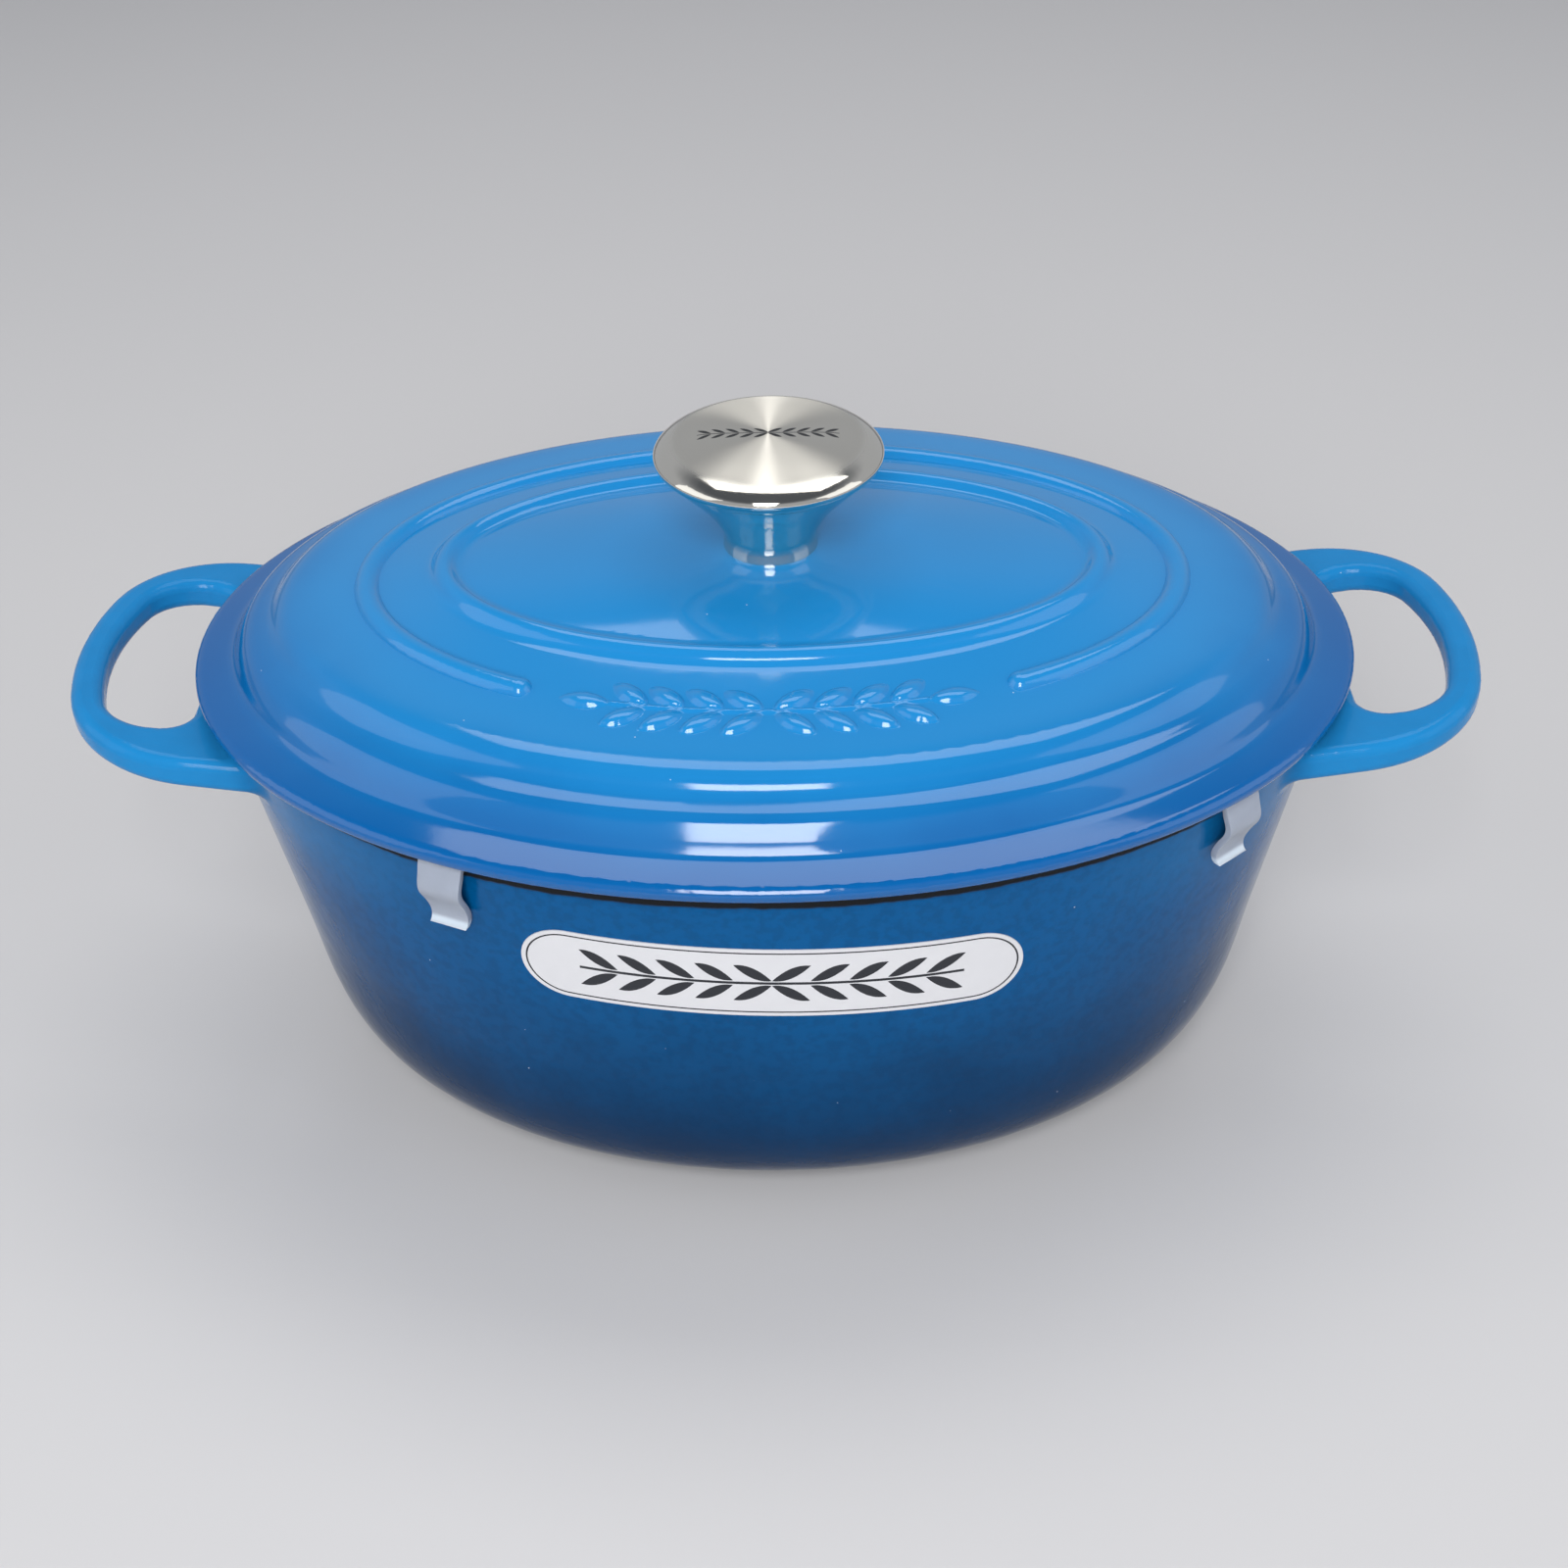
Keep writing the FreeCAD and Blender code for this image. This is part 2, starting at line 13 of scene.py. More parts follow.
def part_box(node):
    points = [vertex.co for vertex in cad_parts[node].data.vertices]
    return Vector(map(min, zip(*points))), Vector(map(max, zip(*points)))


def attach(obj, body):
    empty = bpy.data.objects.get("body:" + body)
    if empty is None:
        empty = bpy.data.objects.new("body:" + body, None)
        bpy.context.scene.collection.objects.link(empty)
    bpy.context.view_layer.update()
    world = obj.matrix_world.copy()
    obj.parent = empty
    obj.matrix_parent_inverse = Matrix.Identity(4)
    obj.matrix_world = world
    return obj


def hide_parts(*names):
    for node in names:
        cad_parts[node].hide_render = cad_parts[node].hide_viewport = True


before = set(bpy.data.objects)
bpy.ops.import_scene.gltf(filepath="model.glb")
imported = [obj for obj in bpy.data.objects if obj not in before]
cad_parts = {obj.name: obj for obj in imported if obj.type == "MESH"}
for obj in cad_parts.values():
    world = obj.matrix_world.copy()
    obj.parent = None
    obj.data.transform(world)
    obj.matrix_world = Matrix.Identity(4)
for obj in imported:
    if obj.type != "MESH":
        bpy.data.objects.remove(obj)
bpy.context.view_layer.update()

bl_info = {
    "name": "Oval dutch oven finishes",
    "version": (1, 0, 0),
    "blender": (4, 5, 0),
    "location": "3D View > Sidebar > Dutch Oven",
    "description": "Enamel, steel, clips, label, lid relief and studio for an oval cast iron dutch oven",
    "category": "Object",
}

MM = 0.001
RAY_START = 1.0  # height from which surfaces are looked for
RIM_INSET = 2 * MM  # a place on top of the rim, in from its outside
# Sockets of a mix node for each kind of data: first value, second value, result
MIX_SOCKETS = {"FLOAT": (2, 3, 0), "VECTOR": (4, 5, 1), "RGBA": (6, 7, 2)}


# ---- Places read from the frame ----------------------------------------------------------------------
def height_over(node, x, y):
    """Height of the upper surface of a CAD node over one point of the floor."""
    hit, place, _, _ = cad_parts[node].ray_cast((x, y, RAY_START), (0.0, 0.0, -1.0))
    if not hit:
        raise RuntimeError(node + " has no surface over that point")
    return place.z


bpy.context.view_layer.update()
LID_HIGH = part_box("lid")[1]
POT_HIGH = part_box("pot_body")[1]
LABEL_LOW, LABEL_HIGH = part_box("front_label")
RIM_HALF_WIDTH = POT_HIGH.y
RIM_HALF_LENGTH = LID_HIGH.x - (LID_HIGH.y - POT_HIGH.y)
RIM_HEIGHT = height_over("pot_body", 0.0, RIM_INSET - RIM_HALF_WIDTH)


# ---- Sizes and colours --------------------------------------------------------------------------------
def colour(name, description, value):
    return FloatVectorProperty(
        name=name, description=description, default=value, size=3, min=0.0, max=1.0, subtype="COLOR"
    )


def length(name, description, value):
    return FloatProperty(name=name, description=description, default=value, unit="LENGTH", precision=5)


def angle(name, description, value):
    return FloatProperty(name=name, description=description, default=math.radians(value), subtype="ANGLE")


def share(name, description, value):
    return FloatProperty(name=name, description=description, default=value, min=0.0, max=1.0)


def power(name, description, value):
    return FloatProperty(name=name, description=description, default=value, min=0.0, unit="POWER")


class EnamelSettings(bpy.types.PropertyGroup):
    plate_blue: colour("Plate blue", "Middle of the lid", (0.012, 0.225, 0.54))
    flange_blue: colour("Flange blue", "Edge of the lid", (0.0, 0.10, 0.33))
    handle_blue: colour("Handle blue", "Loop handles", (0.015, 0.23, 0.54))
    wall_blue: colour("Wall blue", "Upper side wall of the pot", (0.0, 0.09, 0.27))
    foot_navy: colour("Foot navy", "Side wall near the base", (0.0, 0.022, 0.072))
    sand: colour("Sand", "Inside of the pot and the lid", (0.63, 0.55, 0.43))
    rim_black: colour("Rim black", "Matt ground coat on the rim and under the base", (0.008, 0.009, 0.011))
    speck: colour("Speck", "Tiny pale specks in the glaze", (0.55, 0.66, 0.78))
    gloss_roughness: share("Gloss roughness", "Roughness of the glazed faces", 0.07)
    pot_sheen: share("Pot sheen", "Specular level of the pot's glaze, weaker than the lid's", 0.12)
    rim_roughness: share("Rim roughness", "Roughness of the matt rim", 0.6)
    peel_size: length("Orange peel", "Size of the waves in the glaze", 2.6 * MM)
    # Painted shade: how far the hollows of the orange peel are darkened towards the foot's navy
    peel_shade: share("Peel depth", "How much darker the hollows of the orange peel are", 0.2)
    rim_band: length("Rim band", "How far the matt rim comes down the outside", 3.0 * MM)


class KnobSettings(bpy.types.PropertyGroup):
    steel: colour("Steel", "Brushed and polished steel", (0.74, 0.71, 0.64))
    etch: colour("Etch", "Etched marks on the top", (0.09, 0.09, 0.09))
    plated: colour("Plated steel", "Screw, washer and core", (0.5, 0.49, 0.46))
    brushed_roughness: share("Brushed roughness", "Roughness of the top", 0.42)
    polished_roughness: share("Polished roughness", "Roughness of the shoulder and the stem", 0.07)
    polish_start: length("Polish start", "Radius at which the brushing ends", 22.5 * MM)
    etch_half_length: length("Etch half length", "Half the length of the row of leaves", 17.5 * MM)
    etch_pitch: length("Etch pitch", "From one pair of etched leaves to the next", 3.5 * MM)
    etch_reach: length("Etch reach", "How far an etched leaf leaves its twig", 1.0 * MM)


class ReliefSettings(bpy.types.PropertyGroup):
    leaf_length: length("Leaf length", "One leaf, tip to tip", 12.5 * MM)
    leaf_width: length("Leaf width", "One leaf across", 5.4 * MM)
    leaf_height: length("Leaf height", "How far a leaf stands proud of the lid", 1.7 * MM)
    stem_radius: length("Stem radius", "Thickness of the twig", 0.9 * MM)
    leaf_pairs: IntProperty(name="Leaf pairs", description="Pairs on each side", default=4, min=1, max=8)
    half_angle: angle("Half angle", "Half of the relief, as an angle of the oval", 22.0)
    leaf_turn: angle("Leaf turn", "Between a leaf and the twig", 38.0)
    inset: length("Inset", "Middle of the twig, in from the edge of the lid", 46.2 * MM)


class ClipSettings(bpy.types.PropertyGroup):
    plastic: colour("Plastic", "Soft translucent clips", (0.38, 0.42, 0.50))
    lip_highlight: colour("Lip tint", "Paler turned-out lip", (0.62, 0.70, 0.78))
    # Painted highlight: a brighter copy of the clip plastic, given to the turned-out lip
    lip_height: length("Lip height", "Where the lip starts, above the floor", 97.0 * MM)
    rounding: length("Rounding", "Bevel along the edges of a clip", 0.35 * MM)


class LabelSettings(bpy.types.PropertyGroup):
    film: colour("Film", "Satin film", (0.68, 0.68, 0.70))
    ink: colour("Ink", "Printed leaves and border", (0.012, 0.014, 0.02))
    height: length("Height", "Label, low edge to high edge", 22.5 * MM)
    tilt: angle("Tilt", "How the label was stuck on", 1.6)
    border: length("Border", "Distance of the printed line from the edge", 1.3 * MM)
    print_half_length: length("Print half length", "Half of the row of leaves", 45.0 * MM)
    leaf_pitch: length("Leaf pitch", "From one pair of leaves to the next", 9.0 * MM)
    leaf_reach: length("Leaf reach", "How far a leaf leaves the twig", 2.6 * MM)


class StageSettings(bpy.types.PropertyGroup):
    camera_place: FloatVectorProperty(
        name="Camera place", description="Where the camera stands", default=(0.01117, -0.48547, 0.4233),
        size=3, subtype="TRANSLATION", unit="LENGTH",
    )
    camera_pitch: FloatProperty(name="Pitch", description="Downwards", default=0.63, subtype="ANGLE")
    camera_yaw: FloatProperty(name="Yaw", description="To the right", default=-0.019, subtype="ANGLE")
    camera_roll: FloatProperty(name="Roll", description="Clockwise", default=-0.023, subtype="ANGLE")
    lens: FloatProperty(
        name="Lens", description="Focal length on a 36 mm square", default=50.33, subtype="NONE"
    )
    floor: colour("Floor", "Plain pale floor", (0.60, 0.59, 0.59))
    walls: colour("Walls", "Plain pale surroundings at eye level", (0.46, 0.48, 0.52))
    ceiling: colour("Ceiling", "Dim surroundings overhead", (0.10, 0.11, 0.13))
    window_power: power("Window", "Tall bright light behind the camera", 19.0)
    top_power: power("Top light", "Large soft light overhead", 8.0)
    side_power: power("Side lights", "Soft light from each side", 4.0)


# ---- Node helpers -------------------------------------------------------------------------------------
class Finish:
    """A node material on Object coordinates, with short calls for the nodes that the finishes share."""

    def __init__(self, name):
        self.material = bpy.data.materials.new(name)
        self.material.use_nodes = True
        self.nodes = self.material.node_tree.nodes
        self.links = self.material.node_tree.links
        self.shader = self.nodes["Principled BSDF"]
        self.where = self.nodes.new("ShaderNodeTexCoord")
        self.x, self.y, self.z = self.split(self.where.outputs["Object"])

    def put(self, socket, value):
        if isinstance(value, bpy.types.NodeSocket):
            self.links.new(value, socket)
        elif hasattr(value, "__len__") and len(value) == 3 and len(socket.default_value) == 4:
            socket.default_value = (*value, 1.0)
        else:
            socket.default_value = value

    def split(self, vector):
        node = self.nodes.new("ShaderNodeSeparateXYZ")
        self.put(node.inputs[0], vector)
        return node.outputs

    def join(self, x, y, z):
        node = self.nodes.new("ShaderNodeCombineXYZ")
        for socket, value in zip(node.inputs, (x, y, z)):
            self.put(socket, value)
        return node.outputs[0]

    def math(self, kind, *values):
        node = self.nodes.new("ShaderNodeMath")
        node.operation = kind
        for socket, value in zip(node.inputs, values):
            self.put(socket, value)
        return node.outputs[0]

    def ease(self, value, low, high):
        """0 below low, 1 above high and smooth between. Turned round if low is above high."""
        node = self.nodes.new("ShaderNodeMapRange")
        node.interpolation_type = "SMOOTHSTEP"
        first, last = (low, high) if low < high else (high, low)
        self.put(node.inputs["Value"], value)
        node.inputs["From Min"].default_value = first
        node.inputs["From Max"].default_value = last
        node.inputs["To Min"].default_value = 0.0 if low < high else 1.0
        node.inputs["To Max"].default_value = 1.0 if low < high else 0.0
        return node.outputs["Result"]

    def scale(self, value, low, high):
        """A 0 to 1 value spread from low to high."""
        node = self.nodes.new("ShaderNodeMapRange")
        self.put(node.inputs["Value"], value)
        node.inputs["To Min"].default_value = low
        node.inputs["To Max"].default_value = high
        return node.outputs["Result"]

    def mixed(self, kind, factor, first, second):
        node = self.nodes.new("ShaderNodeMix")
        node.data_type = kind
        low, high, result = MIX_SOCKETS[kind]
        self.put(node.inputs[0], factor)
        self.put(node.inputs[low], first)
        self.put(node.inputs[high], second)
        return node.outputs[result]

    def mix(self, factor, first, second):
        """Two colours mixed by a factor."""
        return self.mixed("RGBA", factor, first, second)

    def blend(self, factor, first, second):
        """Plain numbers mixed by a factor."""
        return self.mixed("FLOAT", factor, first, second)

    def noise(self, size, detail=2.0, vector=None):
        """Noise whose waves are about that size, in metres."""
        node = self.nodes.new("ShaderNodeTexNoise")
        node.inputs["Scale"].default_value = 1.0 / size
        node.inputs["Detail"].default_value = detail
        self.put(node.inputs["Vector"], vector if vector is not None else self.where.outputs["Object"])
        return node.outputs["Fac"]

    def specks(self, cell, radius, kept):
        """Mask of small round specks, about one in a cell of that size and only a share of them kept."""
        node = self.nodes.new("ShaderNodeTexVoronoi")
        node.inputs["Scale"].default_value = 1.0 / cell
        self.put(node.inputs["Vector"], self.where.outputs["Object"])
        near = self.ease(node.outputs["Distance"], radius / cell, 0.5 * radius / cell)
        chance = self.split(node.outputs["Color"])[0]
        return self.math("MULTIPLY", near, self.math("LESS_THAN", chance, kept))

    def distance(self, across, along):
        """Length of the line to that point of a plane."""
        square = self.math(
            "ADD", self.math("MULTIPLY", across, across), self.math("MULTIPLY", along, along)
        )
        return self.math("SQRT", square)

    def oval(self, half_x, half_y):
        """How far out a point is: 1 on the oval with those half sizes."""
        return self.distance(self.math("DIVIDE", self.x, half_x), self.math("DIVIDE", self.y, half_y))

    def bump(self, height, depth, below=None):
        node = self.nodes.new("ShaderNodeBump")
        node.inputs["Strength"].default_value = 1.0
        node.inputs["Distance"].default_value = depth
        self.put(node.inputs["Height"], height)
        if below is not None:
            self.put(node.inputs["Normal"], below)
        return node.outputs["Normal"]

    def finish(self, **values):
        for name, value in values.items():
            self.put(self.shader.inputs[name.replace("_", " ")], value)
        return self.material


LEAF_OFFSET = 1.3  # from the twig to the middle of a leaf, in half widths of a leaf
LEAF_BULGE = 0.66
TWIG_THICKNESS = 0.16


def leaf_row(finish, along, across, half_length, pitch, leaf_half_width):
    """Mask of a twig with pairs of leaves that point away from the middle."""
    out = finish.math("ABSOLUTE", along)
    side = finish.math("ABSOLUTE", across)
    cell = finish.math("FRACT", finish.math("DIVIDE", out, pitch))
    place = finish.math("SUBTRACT", finish.math("MULTIPLY", cell, 2.0), 1.0)
    bulge = finish.math("SUBTRACT", 1.0, finish.math("MULTIPLY", place, place))
    centre = finish.math("MULTIPLY", finish.math("ADD", place, LEAF_OFFSET), leaf_half_width)
    off = finish.math("ABSOLUTE", finish.math("SUBTRACT", side, centre))
    leaf = finish.math("LESS_THAN", off, finish.math("MULTIPLY", bulge, LEAF_BULGE * leaf_half_width))
    twig = finish.math("LESS_THAN", side, TWIG_THICKNESS * leaf_half_width)
    inside = finish.math("LESS_THAN", out, half_length)
    return finish.math("MULTIPLY", finish.math("MAXIMUM", leaf, twig), inside)


def darker(tone, kept):
    """A colour with only that share of its light kept."""
    return [kept * channel for channel in tone]


def wear(node, material):
    """Puts a finish on a CAD node."""
    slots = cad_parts[node].material_slots
    if not slots:
        raise RuntimeError(node + " has no material slot")
    for slot in slots:
        slot.material = material


# ---- Finishes -----------------------------------------------------------------------------------------
SPRAY_SIZE = 40 * MM  # of the clouds in the sprayed fade
SPRAY_REACH = 45 * MM  # range of height over which they move the fade
FADE_START = 8 * MM  # height where navy starts to turn blue
FADE_END = RIM_HEIGHT - 15 * MM
HANDLE_GLOW = 0.5  # share of the handles' blue on the wall under them
UNDERSIDE_TOP = 2 * MM  # the sand glaze starts above this
FLOOR_TOP = 30 * MM  # up to here, a face that looks up is taken as inside
SPECK_CELL, SPECK_RADIUS, SPECK_SHARE = 7 * MM, 0.2 * MM, 0.3
LID_SPECK_CELL, LID_SPECK_RADIUS, LID_SPECK_SHARE = 8 * MM, 0.22 * MM, 0.35
MOTTLE_SIZE, MOTTLE_TONE = 2 * MM, 0.9
SEAT_INNER, SEAT_OUTER = 0.90, 0.985  # of the matt seat, as shares of the lid's oval


def glaze_height(finish, size):
    """Orange peel with longer waves under it."""
    fine = finish.noise(size, 2.0)
    slow = finish.noise(size * 6.0, 1.0)
    return finish.math("ADD", finish.math("MULTIPLY", fine, 0.35), slow)


def sand_glaze(finish, settings):
    """Sand colour with a faint mottle."""
    shade = darker(settings.sand, MOTTLE_TONE)
    return finish.mix(finish.noise(MOTTLE_SIZE, 2.0), settings.sand, shade)


def pot_enamel(settings):
    finish = Finish("pot_enamel_glaze")
    out = finish.oval(RIM_HALF_LENGTH, RIM_HALF_WIDTH)
    facing = finish.split(finish.where.outputs["Normal"])
    outward = finish.math(
        "ADD",
        finish.math("MULTIPLY", facing[0], finish.math("DIVIDE", finish.x, RIM_HALF_LENGTH)),
        finish.math("MULTIPLY", facing[1], finish.math("DIVIDE", finish.y, RIM_HALF_WIDTH)),
    )
    # Outside: navy at the foot, clear blue under the rim, brighter on the handles, in an uneven sprayed fade
    cloud = finish.math("MULTIPLY", finish.math("SUBTRACT", finish.noise(SPRAY_SIZE, 3.0), 0.5), SPRAY_REACH)
    level = finish.math("ADD", finish.z, cloud)
    wall = finish.mix(finish.ease(level, FADE_START, FADE_END), settings.foot_navy, settings.wall_blue)
    # Painted shade: darker patches in the orange peel, standing for the shade in its hollows
    peel = finish.ease(finish.noise(settings.peel_size, 3.0), 0.4, 0.65)
    wall = finish.mix(finish.math("MULTIPLY", peel, settings.peel_shade), wall, settings.foot_navy)
    ends = finish.ease(finish.math("ABSOLUTE", finish.x), 60 * MM, RIM_HALF_LENGTH)
    under_handle = finish.math("MULTIPLY", ends, finish.ease(finish.z, 80 * MM, 105 * MM))
    wall = finish.mix(finish.math("MULTIPLY", under_handle, HANDLE_GLOW), wall, settings.handle_blue)
    outside = finish.mix(finish.ease(out, 1.0, 1.05), wall, settings.handle_blue)
    tone = finish.noise(9 * MM, 4.0)
    outside = finish.mix(finish.scale(tone, 0.0, 0.18), outside, settings.foot_navy)
    outside = finish.mix(finish.specks(SPECK_CELL, SPECK_RADIUS, SPECK_SHARE), outside, settings.speck)
    # Inside: sand glaze with a faint mottle
    mottle = sand_glaze(finish, settings)
    above_base = finish.ease(finish.z, UNDERSIDE_TOP, 2 * UNDERSIDE_TOP)
    within = finish.math("MULTIPLY", finish.ease(out, 1.0, 0.995), above_base)
    low_down = finish.ease(finish.z, FLOOR_TOP + 10 * MM, FLOOR_TOP)
    up = finish.math("MULTIPLY", finish.ease(facing[2], 0.4, 0.6), low_down)
    inner_face = finish.math("MAXIMUM", finish.ease(outward, -0.05, -0.15), up)
    inside = finish.math("MULTIPLY", within, inner_face)
    skin = finish.mix(inside, outside, mottle)
    # Matt ground coat on the rim, and under the base
    ragged = finish.math("MULTIPLY", finish.noise(6 * MM, 3.0), 1.2 * MM)
    band = RIM_HEIGHT - settings.rim_band
    rim = finish.ease(finish.math("ADD", finish.z, ragged), band, band + 1.0 * MM)
    rim = finish.math("MULTIPLY", rim, finish.ease(out, 1.012, 1.004))
    under = finish.math(
        "MULTIPLY", finish.ease(finish.z, 1.6 * MM, 0.6 * MM), finish.ease(facing[2], -0.5, -0.8)
    )
    bare = finish.math("MAXIMUM", rim, under)
    skin = finish.mix(bare, skin, settings.rim_black)
    grain = finish.bump(finish.noise(0.7 * MM, 3.0), 0.15 * MM)
    smooth = finish.bump(glaze_height(finish, settings.peel_size), 0.22 * MM)
    normal = finish.mixed("VECTOR", bare, smooth, grain)
    rough = finish.scale(finish.noise(25 * MM, 3.0), settings.gloss_roughness, settings.gloss_roughness + 0.1)
    rough = finish.blend(bare, rough, settings.rim_roughness)
    return finish.finish(
        Base_Color=skin, Roughness=rough, Normal=normal, Specular_IOR_Level=settings.pot_sheen,
    )


def lid_enamel(settings):
    finish = Finish("lid_enamel_glaze")
    out = finish.oval(LID_HIGH.x, LID_HIGH.y)
    facing = finish.split(finish.where.outputs["Normal"])
    cloud = finish.math("MULTIPLY", finish.math("SUBTRACT", finish.noise(45 * MM, 3.0), 0.5), 0.12)
    spread = finish.math("ADD", out, cloud)
    top = finish.mix(finish.ease(spread, 0.7, 1.0), settings.plate_blue, settings.flange_blue)
    top = finish.mix(finish.specks(LID_SPECK_CELL, LID_SPECK_RADIUS, LID_SPECK_SHARE), top, settings.speck)
    mottle = sand_glaze(finish, settings)
    low = finish.ease(facing[2], 0.0, -0.15)
    inside = finish.math("MULTIPLY", low, finish.ease(out, SEAT_OUTER, 0.975))
    skin = finish.mix(inside, top, mottle)
    seat = finish.math("MULTIPLY", finish.ease(facing[2], -0.6, -0.9), finish.ease(out, SEAT_INNER, 0.915))
    seat = finish.math("MULTIPLY", seat, finish.ease(out, SEAT_OUTER, 0.975))
    skin = finish.mix(seat, skin, settings.rim_black)
    gloss = settings.gloss_roughness
    rough = finish.scale(finish.noise(30 * MM, 4.0), gloss - 0.02, gloss + 0.05)
    rough = finish.blend(seat, rough, settings.rim_roughness)
    normal = finish.bump(glaze_height(finish, 1.6 * settings.peel_size), 0.03 * MM)
    return finish.finish(Base_Color=skin, Roughness=rough, Normal=normal, IOR=1.52)


def brushed_steel(settings):
    """Round-brushed top that turns into a polished shoulder."""
    finish = Finish("knob_round_brushed")
    radius = finish.distance(finish.x, finish.y)
    lines = finish.noise(0.25 * MM, 3.0, finish.join(radius, 0.0, 0.0))
    polish = finish.ease(radius, settings.polish_start, settings.polish_start + 3.5 * MM)
    marks = leaf_row(
        finish, finish.x, finish.y, settings.etch_half_length, settings.etch_pitch, settings.etch_reach
    )
    steel = finish.mix(finish.scale(lines, 0.0, 0.25), settings.steel, darker(settings.steel, 0.7))
    steel = finish.mix(marks, steel, settings.etch)
    smudge = finish.scale(finish.noise(12 * MM, 3.0), -0.04, 0.05)
    brushed = finish.math("ADD", finish.scale(lines, -0.06, 0.06), settings.brushed_roughness)
    rough = finish.blend(polish, finish.math("ADD", brushed, smudge), settings.polished_roughness)
    rough = finish.math("MAXIMUM", rough, finish.math("MULTIPLY", marks, 0.45))
    depth = finish.math("MULTIPLY", lines, finish.math("SUBTRACT", 1.0, polish))
    around = finish.nodes.new("ShaderNodeTangent")
    around.direction_type = "RADIAL"
    around.axis = "Z"
    finish.put(finish.shader.inputs["Tangent"], around.outputs[0])
    return finish.finish(
        Base_Color=steel, Metallic=1.0, Roughness=rough, Anisotropic=0.92, Anisotropic_Rotation=0.25,
        Normal=finish.bump(depth, 0.003 * MM),
    )


def polished_steel(settings):
    finish = Finish("knob_polished")
    smudge = finish.noise(9 * MM, 4.0)
    tone = finish.mix(finish.scale(smudge, 0.0, 0.3), settings.steel, darker(settings.steel, 0.85))
    rough = finish.scale(smudge, settings.polished_roughness - 0.03, settings.polished_roughness + 0.05)
    turning = finish.noise(0.3 * MM, 1.0, finish.join(0.0, 0.0, finish.z))
    normal = finish.bump(turning, 0.002 * MM)
    return finish.finish(Base_Color=tone, Metallic=1.0, Roughness=rough, Normal=normal)


def plated_steel(settings):
    finish = Finish("plated_fastening")
    cloud = finish.noise(1.5 * MM, 4.0)
    tone = finish.mix(cloud, settings.plated, darker(settings.plated, 0.75))
    rough = finish.scale(cloud, 0.22, 0.42)
    normal = finish.bump(cloud, 0.01 * MM)
    return finish.finish(Base_Color=tone, Metallic=1.0, Roughness=rough, Normal=normal)


def clip_plastic(settings):
    finish = Finish("clip_soft_plastic")
    cloud = finish.noise(4 * MM, 3.0)
    tone = finish.mix(cloud, settings.plastic, darker(settings.plastic, 0.88))
    # Painted highlight: below the lip height the clip is painted in the paler lip colour
    lip = finish.ease(finish.z, settings.lip_height + 1.2 * MM, settings.lip_height)
    tone = finish.mix(lip, tone, settings.lip_highlight)
    rough = finish.scale(cloud, 0.32, 0.46)
    return finish.finish(
        Base_Color=tone, Roughness=rough, Normal=finish.bump(finish.noise(0.6 * MM, 2.0), 0.01 * MM),
        Subsurface_Weight=0.35, Subsurface_Radius=(1.0, 1.0, 1.0), Subsurface_Scale=1.5 * MM,
        Transmission_Weight=0.12, IOR=1.45,
    )


def label_film(settings):
    """Satin film printed with a row of leaves and a thin border."""
    finish = Finish("label_printed_film")
    turn = finish.nodes.new("ShaderNodeMapping")
    turn.vector_type = "TEXTURE"
    turn.inputs["Location"].default_value = (LABEL_LOW + LABEL_HIGH) / 2
    turn.inputs["Rotation"].default_value = (0.0, settings.tilt, 0.0)
    finish.put(turn.inputs["Vector"], finish.where.outputs["Object"])
    along, _, across = finish.split(turn.outputs[0])
    half_length = (LABEL_HIGH.x - LABEL_LOW.x) / 2
    half_height = settings.height / 2
    beyond = finish.math("SUBTRACT", finish.math("ABSOLUTE", along), half_length - half_height)
    round_end = finish.distance(finish.math("MAXIMUM", beyond, 0.0), across)
    edge = finish.math("ABSOLUTE", finish.math("SUBTRACT", round_end, half_height - settings.border))
    line = finish.math("LESS_THAN", edge, 0.22 * MM)
    leaves = leaf_row(
        finish, along, across, settings.print_half_length, settings.leaf_pitch, settings.leaf_reach
    )
    ink = finish.math("MAXIMUM", line, leaves)
    film = finish.mix(finish.noise(6 * MM, 3.0), settings.film, darker(settings.film, 0.95))
    skin = finish.mix(ink, film, settings.ink)
    rough = finish.scale(finish.noise(12 * MM, 2.0), 0.3, 0.42)
    rough = finish.blend(ink, rough, 0.25)
    normal = finish.bump(finish.noise(9 * MM, 1.0), 0.04 * MM)
    return finish.finish(Base_Color=skin, Roughness=rough, Normal=normal)


# ---- Mesh helpers -------------------------------------------------------------------------------------
def only(piece):
    """Makes one object the whole selection."""
    clear_selection()
    piece.select_set(True)
    bpy.context.view_layer.objects.active = piece


def clear_selection():
    """Leaves edit mode with nothing selected."""
    if bpy.context.object and bpy.context.object.mode != "OBJECT":
        bpy.ops.object.mode_set(mode="OBJECT")
    bpy.ops.object.select_all(action="DESELECT")


def edit_select(piece, test):
    """In edit mode, selects the vertices for which the test is true."""
    only(piece)
    bpy.ops.object.mode_set(mode="EDIT")
    bpy.ops.mesh.select_mode(type="VERT")
    bpy.ops.mesh.select_all(action="DESELECT")
    bpy.ops.object.mode_set(mode="OBJECT")
    for vertex in piece.data.vertices:
        vertex.select = test(vertex.co)
    bpy.ops.object.mode_set(mode="EDIT")


def edit_all(piece):
    """Edit mode on one object with everything in it selected."""
    only(piece)
    bpy.ops.object.mode_set(mode="EDIT")
    bpy.ops.mesh.select_all(action="SELECT")


def apply_modifier(piece, kind, **values):
    only(piece)
    modifier = piece.modifiers.new(kind.lower(), kind)
    for name, value in values.items():
        setattr(modifier, name, value)
    bpy.ops.object.modifier_apply(modifier=modifier.name)


